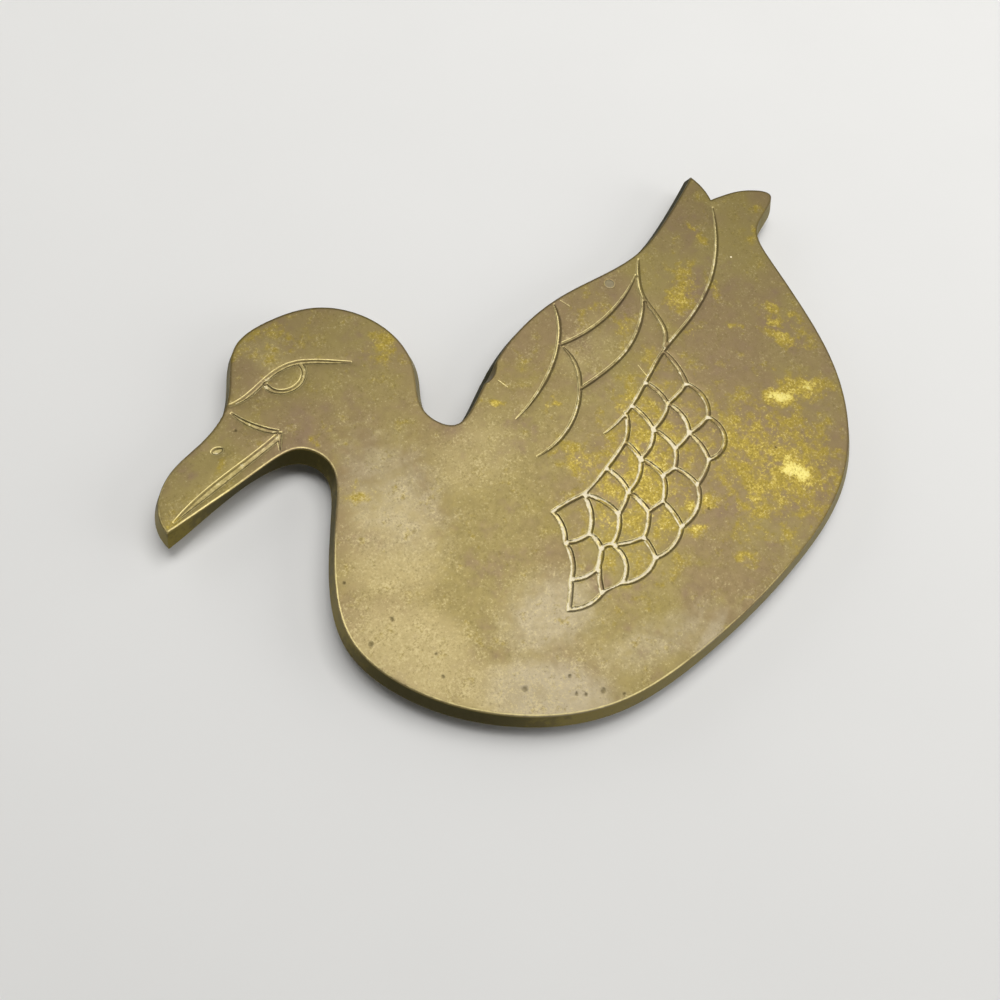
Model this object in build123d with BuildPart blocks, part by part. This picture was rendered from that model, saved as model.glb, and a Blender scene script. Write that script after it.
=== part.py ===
"""A cast brass duck trivet: an engraved plate in the outline of a swimming duck, on three turned feet.

The duck faces -X with its back towards +Y. Z is up from the table, and the origin is on the table under
the middle of the plate. All sizes are in millimetres.
"""
import math
import os

from build123d import *

# Plate
DUCK_LENGTH = 202.8  # from beak to tail over the face
DUCK_BREADTH = 136.1  # from belly to crown over the face
PLATE_THICKNESS = 5.0
WALL_FLARE = 1.5  # how far the cast wall spreads outwards from the face down to the underside
BEAK_FLARES = [0.4, -0.6, 0.3]  # the same at the points under the beak, where the wall is filed back
CHIN_FLARE = 2.0
RUMP_FLARE = 2.2

# Engraving
ENGRAVING_DEPTH = 0.5
FEATHER_LINE_WIDTH = 1.2
FACE_LINE_WIDTH = 1.3
MOUTH_LINE_WIDTH = 1.9
SCALE_LINE_WIDTH = 1.3
TIP_LINE_WIDTH = 0.4  # what a line narrows to where its end lies free
NOSTRIL_LENGTH = 3.0
NOSTRIL_WIDTH = 2.0

# Feet
FOOT_HEIGHT = 5.0
FOOT_SHOULDER_DIAMETER = 8.0
FOOT_BASE_DIAMETER = 6.6
FOOT_BASE_CHAMFER = 0.6
TENON_DIAMETER = 2.0
PEENED_HEAD_DIAMETER = 2.6
PEENED_HEAD_DEPTH = 0.8
TENON_CLEARANCE = 0.05
FEET = {"back_foot": (38.0, 30.4), "breast_foot": (-60.0, -22.0), "rump_foot": (56.0, -36.0)}

# Every place on the face is drawn on a duck of this size, and moves with the duck's own length and breadth
DRAWN_LENGTH = 202.8
DRAWN_BREADTH = 136.1

# Outline of the face, in three curves that meet at the beak's tip, the tail's notch and the tail's tip
BEAK_TIP = (-101.2, 27.5)
BEAK_UNDERSIDE = [(-91.8, 28.6), (-80.1, 30.0), (-70.5, 31.4)]
CHIN_AND_BREAST = [(-62.6, 30.7), (-58.4, 24.0), (-63.0, 12.4), (-73.5, -4.0), (-78.2, -18.6)]
BELLY = [(-73.5, -35.5), (-58.5, -53.5), (-34.5, -66.3), (-9.0, -67.8), (30.0, -62.0)]
RUMP = [(58.3, -49.8), (76.8, -25.5), (82.7, -3.5), (85.2, 12.0)]
TAIL_NOTCH = (83.8, 39.0)
TAIL_FROM_NOTCH = [(4.8, -16.2), (13.8, -11.0), (17.7, -7.8), (13.1, -3.2), (6.9, -1.0)]
TAIL_EDGE_FROM_NOTCH = (0.7, 5.1)
TAIL_TIP_FROM_NOTCH = (0.1, 9.8)
BACK = [(68.0, 40.6), (52.0, 34.7), (23.0, 34.0), (-2.0, 27.4), (-17.0, 18.3), (-25.2, 15.8)]
NAPE_AND_CROWN = [(-29.5, 22.0), (-24.9, 36.0), (-26.5, 54.5), (-37.0, 65.2), (-50.0, 68.0), (-61.5, 65.6)]
BROW_AND_BEAK = [(-67.8, 57.2), (-73.0, 50.2), (-83.0, 44.8), (-93.0, 41.4), (-99.3, 35.8)]
# Engraved lines: the points of each, and whether it starts and ends free
FEATHER_LINES = [
    ([(20.0, 33.0), (17.0, 26.2), (13.7, 22.1), (4.4, 14.6), (-10.2, 8.6)], True, True),
    ([(13.5, 21.2), (23.7, 20.8), (34.1, 22.8), (46.6, 28.9)], False, True),
    ([(13.9, 20.3), (13.3, 12.9), (9.8, 6.8), (-1.8, -1.8), (-12.0, -3.3)], True, True),
    ([(10.1, 7.0), (19.1, 7.8), (30.2, 10.7), (38.6, 16.2), (43.7, 21.8)], False, False),
    ([(50.8, 32.9), (47.6, 29.0), (44.0, 22.0), (43.2, 13.6), (38.3, 5.2)], True, False),
    (
        [(82.5, 36.5), (75.4, 26.2), (63.7, 15.4), (47.8, 7.9), (38.0, 4.7), (19.1, -4.5), (7.4, -7.3)],
        True,
        True,
    ),
]
FACE_LINES = [
    ([(-71.5, 50.8), (-66.1, 50.8), (-60.6, 52.4), (-52.4, 53.4), (-45.5, 50.4), (-38.1, 45.8)], True, True),
    ([(-60.8, 51.7), (-58.7, 47.7), (-54.2, 46.8), (-50.6, 49.0), (-49.8, 52.3)], False, False),
    ([(-72.2, 48.6), (-69.5, 42.8), (-64.8, 37.6)], True, False),
    ([(-64.7, 37.5), (-67.0, 33.0)], False, True),
]
MOUTH_LINE = [(-65.3, 36.5), (-76.9, 34.1), (-88.1, 31.9), (-98.5, 29.2)]
NOSTRIL = (-80.4, 40.9)
NOSTRIL_TURN = -14.0

# Wing scales: the corners where their edges meet, along the wing (W), down the breast end (B), along the
# lower rim (R) and inside the patch (S), then each edge with how far it bows out to the left of its way
CORNERS = {
    "W1": (37.5, 4.3), "W2": (27.2, -1.5), "W3": (19.1, -4.5), "W4": (16.3, -5.3), "W5": (10.8, -12.2),
    "W6": (1.6, -15.9), "W7": (-8.0, -18.6), "B1": (-17.7, -18.3), "B2": (-20.0, -26.8), "B3": (-24.7, -35.6),
    "B4": (-29.8, -41.5), "R1": (36.5, -7.1), "R2": (35.0, -18.3), "R3": (26.9, -28.4), "R4": (19.6, -32.5),
    "R5": (8.3, -39.6), "R6": (-2.9, -42.6), "R7": (-14.4, -43.2), "R8": (-20.2, -42.7), "S1": (28.0, -9.3),
    "S2": (19.7, -13.2), "S3": (27.3, -19.4), "S4": (11.2, -18.4), "S5": (21.3, -21.0), "S6": (13.3, -25.6),
    "S7": (17.4, -25.4), "S8": (8.6, -31.3), "S9": (3.6, -31.6), "S10": (-3.5, -27.9), "S11": (2.5, -24.3),
    "S12": (-10.2, -33.8), "S13": (-2.0, -36.6), "S14": (-13.4, -28.2), "S15": (-13.4, -33.4),
    "S16": (-18.1, -37.0),
}
SCALE_EDGES = [
    ("W1", "R1", 0.8), ("R1", "R2", 2.2), ("R2", "R3", 4.6), ("R3", "R4", 0.5), ("R4", "R5", 2.1),
    ("R5", "R6", 1.5), ("R6", "R7", 1.8), ("R7", "R8", 0.0), ("R8", "B4", 1.1), ("W4", "W5", 0.7),
    ("W5", "W6", 0.1), ("W6", "W7", 0.0), ("W7", "B1", -0.2), ("B1", "B2", 0.9), ("B2", "B3", 1.1),
    ("B3", "B4", 0.1), ("W2", "S1", 0.6), ("R1", "S1", 0.3), ("W3", "S2", 0.6), ("S1", "S2", 0.8),
    ("S1", "S3", 1.6), ("R2", "S3", 0.5), ("S2", "S5", 0.5), ("S3", "S5", 0.4), ("S3", "R3", 0.8),
    ("W5", "S4", 0.3), ("S2", "S4", 1.2), ("S4", "S6", 0.5), ("S5", "S7", 0.3), ("S7", "S6", 0.1),
    ("S7", "R4", 0.5), ("W6", "S11", 0.8), ("S4", "S11", 1.2), ("W7", "S10", 1.0), ("S11", "S10", 0.3),
    ("S11", "S9", 0.4), ("S6", "S8", 0.6), ("S8", "S9", 0.0), ("S8", "R5", 0.5), ("S9", "S13", 0.4),
    ("S13", "S12", 0.4), ("S10", "S12", 0.8), ("S12", "S15", -0.5), ("S12", "R7", 2.3), ("S13", "R6", 0.3),
    ("W7", "S14", 1.3), ("S14", "B2", 0.6), ("S14", "S15", 0.6), ("S15", "R8", -0.7), ("S16", "B3", 0.6),
    ("S15", "S16", 0.5),
]

FACE_HEIGHT = FOOT_HEIGHT + PLATE_THICKNESS
PEENED_HEAD_FLARE = (PEENED_HEAD_DIAMETER - TENON_DIAMETER) / 2
UNDERSIDE = Plane.XY.offset(FOOT_HEIGHT)
FACE = Plane.XY.offset(FACE_HEIGHT)


def from_notch(offset):
    """A place on the tail, which moves with its notch."""
    return (TAIL_NOTCH[0] + offset[0], TAIL_NOTCH[1] + offset[1])


def placed(drawn):
    """The drawn places, stretched to the duck's own length and breadth."""
    return [(x * DUCK_LENGTH / DRAWN_LENGTH, y * DUCK_BREADTH / DRAWN_BREADTH) for x, y in drawn]


TAIL = [from_notch(offset) for offset in TAIL_FROM_NOTCH]
TAIL_TIP = from_notch(TAIL_TIP_FROM_NOTCH)
OUTLINE = [
    placed([BEAK_TIP, *BEAK_UNDERSIDE, *CHIN_AND_BREAST, *BELLY, *RUMP, *TAIL, TAIL_NOTCH]),
    placed([TAIL_NOTCH, from_notch(TAIL_EDGE_FROM_NOTCH), TAIL_TIP]),
    placed([TAIL_TIP, *BACK, *NAPE_AND_CROWN, *BROW_AND_BEAK, BEAK_TIP]),
]


def engraved_line(drawn, width, free_start, free_end):
    """Add one engraved line to the sketch: a curve through its points that narrows towards a free end."""
    points = placed(drawn)
    halves = [width / 2] * len(points)
    if free_start:
        halves[0] = TIP_LINE_WIDTH / 2
    if free_end:
        halves[-1] = TIP_LINE_WIDTH / 2
    with BuildLine() as sides:
        middle = Spline(*points, mode=Mode.PRIVATE)
        across = [middle.tangent_at(middle.param_at_point(point)).rotate(Axis.Z, 90) for point in points]
        left = [Vector(*point) + aside * half for point, aside, half in zip(points, across, halves)]
        right = [Vector(*point) - aside * half for point, aside, half in zip(points, across, halves)]
        Spline(*left)
        Spline(*right)
        Line(left[0], right[0])
        Line(left[-1], right[-1])
    make_face(sides.edges())


def scale_edge(start, end, bow):
    """Add one edge of a wing scale to the sketch: an arc between two corners, or a straight line."""
    ends = placed([CORNERS[start], CORNERS[end]])
    with BuildLine() as edge:
        if bow:
            SagittaArc(*ends, bow * DUCK_LENGTH / DRAWN_LENGTH)
        else:
            Line(*ends)
    trace(edge.edges(), line_width=SCALE_LINE_WIDTH)


def outward(curve, point):
    """The direction that points out of the duck at a point of its outline, which runs anticlockwise."""
    return curve.tangent_at(curve.param_at_point(point)).rotate(Axis.Z, -90)


def face_outline():
    """Add the outline of the face to the sketch."""
    with BuildLine() as outline:
        for points in OUTLINE:
            Spline(*points)
    make_face(outline.edges())


def underside_outline():
    """Add the outline of the underside: the face's, moved outwards by the wall's flare."""
    flares = dict(zip(placed(BEAK_UNDERSIDE), BEAK_FLARES))
    flares |= dict.fromkeys(placed(CHIN_AND_BREAST[:2]), CHIN_FLARE)
    flares |= dict.fromkeys(placed(RUMP[:2]), RUMP_FLARE)
    with BuildLine() as outline:
        curves = [Spline(*points, mode=Mode.PRIVATE) for points in OUTLINE]
        for number, points in enumerate(OUTLINE):
            moved = [Vector(*p) + outward(curves[number], p) * flares.get(p, WALL_FLARE) for p in points]
            for end, neighbour in ((0, curves[number - 1]), (-1, curves[(number + 1) % len(curves)])):
                here = outward(curves[number], points[end])
                there = outward(neighbour, points[end])
                moved[end] = Vector(*points[end]) + (here + there) * (WALL_FLARE / (1 + here.dot(there)))
            Spline(*moved)
    make_face(outline.edges())


with BuildPart() as duck_plate:
    with BuildSketch(UNDERSIDE):
        underside_outline()
    with BuildSketch(FACE):
        face_outline()
    loft(ruled=True)

    with BuildSketch(FACE):
        for points, free_start, free_end in FEATHER_LINES:
            engraved_line(points, FEATHER_LINE_WIDTH, free_start, free_end)
        for edge in SCALE_EDGES:
            scale_edge(*edge)
        with Locations(*placed(CORNERS.values())):
            Circle(SCALE_LINE_WIDTH / 2)
    extrude(amount=-ENGRAVING_DEPTH, mode=Mode.SUBTRACT)

    with BuildSketch(FACE):
        for points, free_start, free_end in FACE_LINES:
            engraved_line(points, FACE_LINE_WIDTH, free_start, free_end)
        engraved_line(MOUTH_LINE, MOUTH_LINE_WIDTH, False, True)
        with Locations(*placed([NOSTRIL])):
            Ellipse(NOSTRIL_LENGTH / 2, NOSTRIL_WIDTH / 2, rotation=NOSTRIL_TURN)
    extrude(amount=-ENGRAVING_DEPTH, mode=Mode.SUBTRACT)

    with Locations(*[(foot_x, foot_y, FACE_HEIGHT) for foot_x, foot_y in placed(FEET.values())]):
        CounterSinkHole(
            radius=TENON_DIAMETER / 2 + TENON_CLEARANCE,
            counter_sink_radius=PEENED_HEAD_DIAMETER / 2 + TENON_CLEARANCE,
            counter_sink_angle=2 * math.degrees(math.atan2(PEENED_HEAD_FLARE, PEENED_HEAD_DEPTH)),
        )

duck_plate.part.label = "duck_plate"
os.makedirs("parts", exist_ok=True)
export_step(duck_plate.part, "parts/duck_plate.step")

for foot_name, (foot_x, foot_y) in zip(FEET, placed(FEET.values())):
    with BuildPart() as foot:
        with BuildSketch(Plane((foot_x, foot_y, 0), x_dir=(1, 0, 0), z_dir=(0, -1, 0))):
            with BuildLine():
                Polyline(
                    (0, 0),
                    (FOOT_BASE_DIAMETER / 2 - FOOT_BASE_CHAMFER, 0),
                    (FOOT_BASE_DIAMETER / 2, FOOT_BASE_CHAMFER),
                    (FOOT_SHOULDER_DIAMETER / 2, FOOT_HEIGHT),
                    (TENON_DIAMETER / 2, FOOT_HEIGHT),
                    (TENON_DIAMETER / 2, FACE_HEIGHT - PEENED_HEAD_DEPTH),
                    (PEENED_HEAD_DIAMETER / 2, FACE_HEIGHT),
                    (0, FACE_HEIGHT),
                    (0, 0),
                )
            make_face()
        revolve(axis=Axis((foot_x, foot_y, 0), (0, 0, 1)))
    foot.part.label = foot_name
    export_step(foot.part, f"parts/{foot_name}.step")
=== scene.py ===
"""A cast brass duck trivet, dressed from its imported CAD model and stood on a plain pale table.

The duck faces -X with its back towards +Y, and Z is up from the table. Sizes are in millimetres, and the
meshes are made in metres. A place on the face is a complex number, x + y j, so that a turn is one product.
"""
import math

import bpy
import numpy as np
from mathutils import Matrix, Vector, kdtree, noise
from mathutils.geometry import delaunay_2d_cdt


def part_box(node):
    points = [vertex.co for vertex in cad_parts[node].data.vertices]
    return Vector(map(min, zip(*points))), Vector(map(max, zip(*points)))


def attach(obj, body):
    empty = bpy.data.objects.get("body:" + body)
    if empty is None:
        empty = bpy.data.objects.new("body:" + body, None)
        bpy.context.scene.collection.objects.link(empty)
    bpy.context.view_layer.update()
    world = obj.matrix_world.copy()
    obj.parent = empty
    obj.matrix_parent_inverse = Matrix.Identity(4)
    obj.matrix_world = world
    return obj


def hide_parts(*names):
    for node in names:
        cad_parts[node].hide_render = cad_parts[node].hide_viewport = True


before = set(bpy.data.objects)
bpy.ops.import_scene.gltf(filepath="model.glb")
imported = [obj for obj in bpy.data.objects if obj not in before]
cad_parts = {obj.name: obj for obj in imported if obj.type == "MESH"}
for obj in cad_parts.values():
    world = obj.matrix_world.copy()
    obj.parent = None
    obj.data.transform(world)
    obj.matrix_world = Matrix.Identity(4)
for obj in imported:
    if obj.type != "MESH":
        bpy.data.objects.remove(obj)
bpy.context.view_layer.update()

MM = 0.001
plate_low, plate_high = (np.array(corner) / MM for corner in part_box("duck_plate"))
UNDERSIDE = plate_low[2]
FACE = plate_high[2]
FEET = ["back_foot", "breast_foot", "rump_foot"]

# Relief of the face
BEVEL_WIDTH = 0.6  # of the soft bevel that polishing left along the face's edge
BEVEL_DROP = 0.1
SHOULDER = 0.22  # how far outside an engraved line's edge the metal starts to fall
FLANK = 0.6  # how far inside that edge the line reaches its depth, between its steep and its broad side
FLANK_LEAN = 0.45  # how much broader and steeper those two are, from the way the graver leaned
CROSS_STEEPNESS = 0.45  # how much steeper both sides of the lines across the wing are, above a flat floor
BROAD_SIDE = 0.2 - 0.98j  # the broad side lies towards the belly, and on the head towards the crown
HEAD_END = -35.0  # the head's engraving lies beyond this
STROKE_SPREAD = 0.14  # how much wider the lines cut across the wing are, on each side
STROKE_WOBBLE = 0.12  # how much the hand let a line's edge stray
ENGRAVING_DEPTH = 0.36  # what the dried polish in the lines leaves open
SCALE_CROWN = 0.1  # how far the edge of a wing scale lies below its middle
SCALE_CROWN_REACH = 1.2  # how soon the scale rises from that edge
FACE_WAVE = 0.05  # unevenness of the hand-polished face
MEETING_START = 0.9  # how far off the third edge is where lines meet, and where a meeting ends
MEETING_END = 1.7
PIT_DEPTH = 0.12
PIT_FLOOR = 0.05  # how far a pit's floor and its side reach from its middle, in diameters
PIT_SIDE = 0.65
PIT_RAGGEDNESS = 0.2  # how far its edge strays, in diameters
SCRATCH_WIDTH = 0.26
SCRATCH_DEPTH = 0.03
PEENED_RADIUS = 1.5
PEENED_RING = 0.3
PEENED_DEPTH = 0.05
# Kinds of unevenness: how large each is, and its seed
UNEVENNESS = {
    "face_wave": (24.0, 3), "line_edge": (1.8, 5), "underside_grain": (3.0, 7), "underside_swell": (9.0, 8),
    "pit_edge": (0.6, 11), "rubbed_stray": (5.0, 21), "rubbed_stray_across": (5.0, 22),
    "rubbed_fray": (2.0, 23), "rubbed_fray_across": (2.0, 24), "bare_stretch": (5.0, 31),
    "meeting": (7.0, 33),
}

# Casting pits: place and diameter
PITS = [
    (-50.5 - 51.5j, 1.6), (-35.0 - 62.3j, 1.6), (-39.6 - 54.9j, 1.0), (-40.8 - 59.3j, 1.1),
    (-39.1 - 60.7j, 1.0), (-31.1 - 65.7j, 0.9), (-74.9 - 22.5j, 1.5), (-65.0 - 38.5j, 0.9),
    (-67.4 - 20.0j, 1.0), (-63.3 - 32.9j, 0.8), (-72.2 - 6.1j, 0.8), (-73.8 + 43.7j, 0.9),
    (45.2 - 35.3j, 0.7), (17.7 - 39.3j, 0.7),
]
# Scratches: the two ends of each and how deep it is
SCRATCHES = [
    (-36.6 - 54.6j, -36.2 - 60.2j, 0.5), (-34.6 - 55.2j, -33.4 - 59.0j, 0.6),
    (-38.2 - 53.6j, -37.6 - 57.0j, 0.5), (-32.8 - 56.0j, -31.6 - 58.6j, 0.5),
    (-40.2 - 55.8j, -39.4 - 58.2j, 0.4), (-7.6 + 20.9j, -6.6 + 17.8j, 0.9),
    (22.3 + 33.2j, 23.5 + 30.1j, 0.9), (28.4 + 4.8j, 28.4 + 0.3j, 0.9),
]
# The stub of the casting's gate on the back's edge, ground off by a small wheel
GATE_WHEEL_PLACE = -10.8 + 28.3j
GATE_WHEEL_RADIUS = 6.5
GATE_SLOPE = 1.6
GATE_RIM = 0.25  # how far inside the ground edge the raw metal starts

# Rubbed patches: place, half length, half breadth, turn in degrees and how bright the metal is rubbed
RUBBED_PATCHES = [
    (57 - 24j, 5.5, 2.6, 157, 1.15), (66 - 25j, 3.8, 2.4, 169, 0.95), (62 - 16j, 1.4, 1.0, 149, 0.5),
    (45 - 43j, 6.0, 3.8, 120, 1.2), (42 - 38j, 22, 17, 114, 0.62), (45 - 50j, 4.0, 3.5, 148, 0.45),
    (32 - 43j, 4.7, 3.5, 148, 0.8), (28 - 45j, 7.6, 5.2, 148, 0.5), (32 - 33j, 5.1, 4.7, 50, 0.5),
    (43 - 26j, 2.7, 1.5, 169, 0.5), (19 - 38j, 2.6, 2.2, 50, 0.7), (11 - 42j, 2.6, 1.8, 177, 0.8),
    (17 - 55j, 3.7, 2.2, 148, 0.6), (31 - 57j, 4.6, 2.7, 96, 0.5), (25 - 51j, 8.4, 4.2, 148, 0.4),
    (31 - 25j, 2.8, 2.7, 148, 0.45), (14 - 35j, 3.4, 1.6, 51, 0.7), (24 - 7j, 4.0, 3.6, 51, 0.55),
    (16 - 13j, 4.8, 3.0, 52, 0.7), (25 - 16j, 4.3, 3.3, 51, 0.5), (17 - 19j, 4.7, 3.3, 51, 0.55),
    (24 - 25j, 3.6, 2.8, 51, 0.4), (9 - 27j, 4.6, 3.0, 51, 0.45), (-1 - 21j, 3.7, 3.4, 148, 0.65),
    (-7 - 27j, 5.5, 2.9, 53, 0.6), (6 - 35j, 5.0, 2.7, 51, 0.65), (19 - 3j, 6.3, 3.3, 18, 0.55),
    (33 + 4j, 3.6, 2.3, 51, 0.5), (-3 - 11j, 7.5, 4.5, 103, 0.6), (2 - 13j, 2.1, 1.8, 148, 0.5),
    (1 + 8j, 1.4, 1.4, 0, 0.7), (-11 + 15j, 1.4, 1.2, 55, 0.7), (0 + 19j, 1.9, 1.6, 54, 0.45),
    (32 + 16j, 3.8, 2.9, 52, 0.5), (28 + 27j, 3.2, 2.4, 150, 0.3), (52 + 16j, 3.8, 3.8, 0, 0.75),
    (52 + 25j, 2.5, 2.4, 51, 0.4), (72 + 30j, 1.5, 1.0, 150, 0.75), (71 + 33j, 1.0, 0.8, 150, 0.8),
    (86 + 22j, 5.6, 2.2, 49, 0.5), (96 + 29j, 4.6, 2.9, 49, 0.3), (72 - 4j, 2.7, 2.4, 149, 0.75),
    (75 + 0j, 1.7, 1.5, 49, 0.7), (61 + 1j, 1.4, 1.2, 50, 0.6), (64 + 14j, 3.5, 1.2, 50, 0.5),
    (-54 + 64j, 10, 8, 173, 0.42), (-28 + 46j, 6.0, 5.0, 58, 0.5), (-56 + 12j, 5.3, 3.0, 137, 0.45),
    (-83 + 36j, 3.5, 1.9, 13, 0.3), (-100 + 29j, 3.7, 1.3, 176, 0.6), (-59 + 31j, 1.6, 1.4, 0, 0.5),
    (9 - 22j, 30, 13, 40, 0.6), (78 - 11j, 6, 5, 0, 0.35), (62 - 25j, 9, 5, 160, 0.75),
    (73 - 5j, 8, 4, 120, 0.4), (48 + 5j, 2.5, 1.8, 60, 0.5), (29 + 27j, 7, 4, 60, 0.4),
    (57 + 20j, 10, 5, 50, 0.5), (70 - 10j, 5.0, 2.2, 120, 0.8), (73 - 16j, 2.4, 1.7, 120, 0.6),
    (77 - 6j, 2.4, 1.9, 0, 0.55), (94 + 30j, 1.5, 1.1, 0, 0.6),
]
RUBBED_STRAY = 2.4  # how far the edges of those patches stray
RUBBED_CORE = 0.1  # where they are full and where they end, in shares of their half length and breadth
RUBBED_END = 1.9
# The patches below give the same: place, half length, half breadth, turn and strength
# Breast, belly, shoulder, wing and crown, where handling kept the brass golden
GOLDEN_PATCHES = [
    (-67 - 31j, 22, 13, 116, 0.8), (-57 - 4j, 18, 14, 57, 0.7), (-27 - 58j, 18, 8, 147, 0.35),
    (-54 - 50j, 22, 8, 139, 0.8), (-38 - 36j, 15, 14, 0, 0.4), (-24 + 6j, 16, 12, 0, 0.5),
    (20 + 16j, 12, 8, 30, 0.4), (-56 + 60j, 8, 6, 0, 0.4),
]
# Where dried polish stayed in the engraving: most on the wing scales, less on the feathers and the head
WING_SCALES = (-2 - 27j, 70, 33, 35, 1.0)
CHALKY_PATCHES = [
    WING_SCALES, (58 + 18j, 36, 13, 36, 0.85), (28 + 14j, 20, 7, 30, 0.8), (-2 + 8j, 26, 14, 45, 0.75),
    (-68 + 43j, 40, 30, 0, 0.75), (-79.5 + 40.5j, 5, 5, 0, 0.62),
]
POLISH_SPECKS = [(75.4 + 19.5j, 0.35)]  # dried specks of it on the open face: place and radius
# Edges of beak, breast, belly and rump kept bright, partly burnished by handling and partly a painted
# highlight; the plate's other edges get a painted shade
WORN_AND_HIGHLIT_EDGES = [
    (-84 + 5j, 50, 22, 110, 1.0), (-68 + 30j, 28, 14, 160, 0.8), (-40 - 55j, 52, 22, 150, 1.0),
    (40 - 56j, 44, 18, 35, 0.45), (5 - 68j, 36, 14, 15, 0.7),
]
# Breast and belly, where the face is paler: partly paler brass, partly a painted glare
PALE_AND_GLARE_PATCHES = [
    (-46 - 56j, 16, 9, 140, 0.9), (-34 - 40j, 14, 10, 0, 0.65), (-14 - 60j, 22, 6, 170, 0.4),
    (-50 + 8j, 20, 14, 90, 0.45), (-4 - 66j, 10, 2.5, 25, 0.6),
]
# Walls under the chin and the breast, darkened as painted shade
SHADED_WALL_PATCHES = [(-72 + 27j, 22, 12, 0, 0.6), (-68 - 42j, 28, 16, 130, 0.6)]

# Finish of lines and edges: the side of a line turned away from the belly, towards the light, gets a painted
# highlight, and the broad side towards the belly a painted shade
HEAD_BRIGHT = 0.62  # both sides of the head's lines
BRIGHT_TURN = (-0.4, 0.6)  # a side's turn away from the belly where its painted highlight starts and where it is full
BELLY_TURN = (-0.2, 0.5)  # the same for the turn towards the belly that makes a painted shadow line
ALONG_WING = (0.85, 0.97)  # the same for the lines along the wing, which have a darker floor
DARK_FLOOR = (0.2, 0.45)  # how far inside a line's edge its darker floor starts and where it is full
BARE_FLOOR = (0.3, 0.5)  # the same for the floor that is bare of polish in stretches
BARE_STRETCHES = (-0.25, 0.25)  # the unevenness that makes such a stretch
FILLED_MEETINGS = (-0.6, 0.3)  # the unevenness that leaves polish in the meetings of lines
RIM_PLACE = 0.1  # how far outside a line's edge its bright rim lies: burnish with a painted highlight, weaker on the shaded side
RIM_WIDTH = 0.16
SHADOW_LINE_PLACE = -0.08  # the same for the painted shadow line on a scale line's belly side, just inside its edge
SHADOW_LINE_WIDTH = 0.2
PLATE_EDGE_PLACE = 0.3  # how far inside the outline the plate's edge lies: burnish with a painted highlight on the handled edges, painted shade on the others
PLATE_EDGE_WIDTH = 0.3
SCRATCH_BRIGHT = 1.1
PEENED_BRIGHT = 0.6
SCALES_LESS_BRIGHT = 0.5
BARE_FLOOR_LESS_BRIGHT = 0.5
# How strong the painted shade is: on a line's broad side, in the shadow line on the scales and along the
# plate's edge
SHADE_IN_LINES = 0.8
SHADE_IN_SHADOW_LINES = 1.1
SHADE_ON_PLATE_EDGE = 0.7
SCALES_LESS_SHADED = 0.4
CROSS_LINES_LESS_SHADED = 0.8
SHADED_RIM_LESS_BRIGHT = 0.7
POLISH_IN_LINES = 0.25
# Extra polish on a line's lit side, partly dried polish and partly a painted highlight
POLISH_AND_HIGHLIGHT_ON_BRIGHT_SIDE = 0.45
POLISH_ON_SCALES = 0.17
POLISH_IN_CROSS_LINES = 0.72
POLISH_IN_MEETINGS = 0.75
POLISH_IN_SPECKS = 1.5
BARE_FLOOR_LESS_POLISH = 0.6
SHADOW_LINE_LESS_POLISH = 0.85

# Fineness of the mesh
OPEN_PITCH = 0.9  # between points on the open face
FINER = 5  # how many times closer they are along the engraving
RIM_STEP = 0.5  # between points along the outline
RIM_ROWS = [0.06, 0.15, 0.28, 0.45, 0.7]  # rows of points inside the outline, for its bevel
RIM_ROW_CLEAR = 0.85  # share of its inset that a row's point has to keep from the outline
CURVE_FINENESS = 4  # how many times closer than its step a curve is drawn first
EDGE_STEP = 0.08  # between the places on an engraved edge that distances are measured from
WALL_ROWS = 10
WALL_CROWDING = 1.5  # how those rows crowd towards the top
WALL_SMOOTHING = 7  # over how many places the foot of the wall is smoothed
BACK_WALL = (0.3, 0.9)  # the wall's turn to the back where it starts to be darker and where it is fully so
WALL_LOWEST_ROW = 0.97  # share of the wall above its lower edge, where the underside's own skin starts
WALL_TOP = 0.08  # share of the wall that polishing kept bright
UNDERSIDE_PITCH = 1.6
UNDERSIDE_ROUGHNESS = 0.14
FOOT_CLEARING = 5.0  # radius around a foot where the underside is level
SHARP_TURN = math.radians(30)
SHARP_FOLD = 50  # degrees, above which an edge between faces stays sharp
LEVEL = 0.001
LEVEL_NORMAL = 0.99
SAME_PLACE = 1e-5
SHORTEST_ENGRAVED_LOOP = 1.0


def soft_share(value, start, end):
    """How far a value has come from start to end, from 0 to 1, with a soft start and a soft end."""
    share = np.clip((value - start) / (end - start), 0, 1)
    return share * share * (3 - 2 * share)


def soft_band(value, middle, width):
    """How near a value is to a middle one, from 1 there to 0 far off."""
    return np.exp(-((value - middle) / width) ** 2)


def unevenness(points, kind):
    """Smooth unevenness of that kind at each place, from -1 to 1."""
    size, seed = UNEVENNESS[kind]
    return np.array([noise.noise((point.real / size, point.imag / size, seed)) for point in points])


def in_patches(points, patches, core=0.3, reach_end=1.5):
    """How far each place lies in soft-edged patches, from 0 outside them to the strongest one's value."""
    most = np.zeros(len(points))
    for middle, half_length, half_breadth, turn, strength in patches:
        offset = (points - middle) * np.exp(-1j * math.radians(turn))
        reach = np.hypot(offset.real / half_length, offset.imag / half_breadth)
        most = np.maximum(most, strength * (1 - soft_share(reach, core, reach_end)))
    return most


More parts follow.
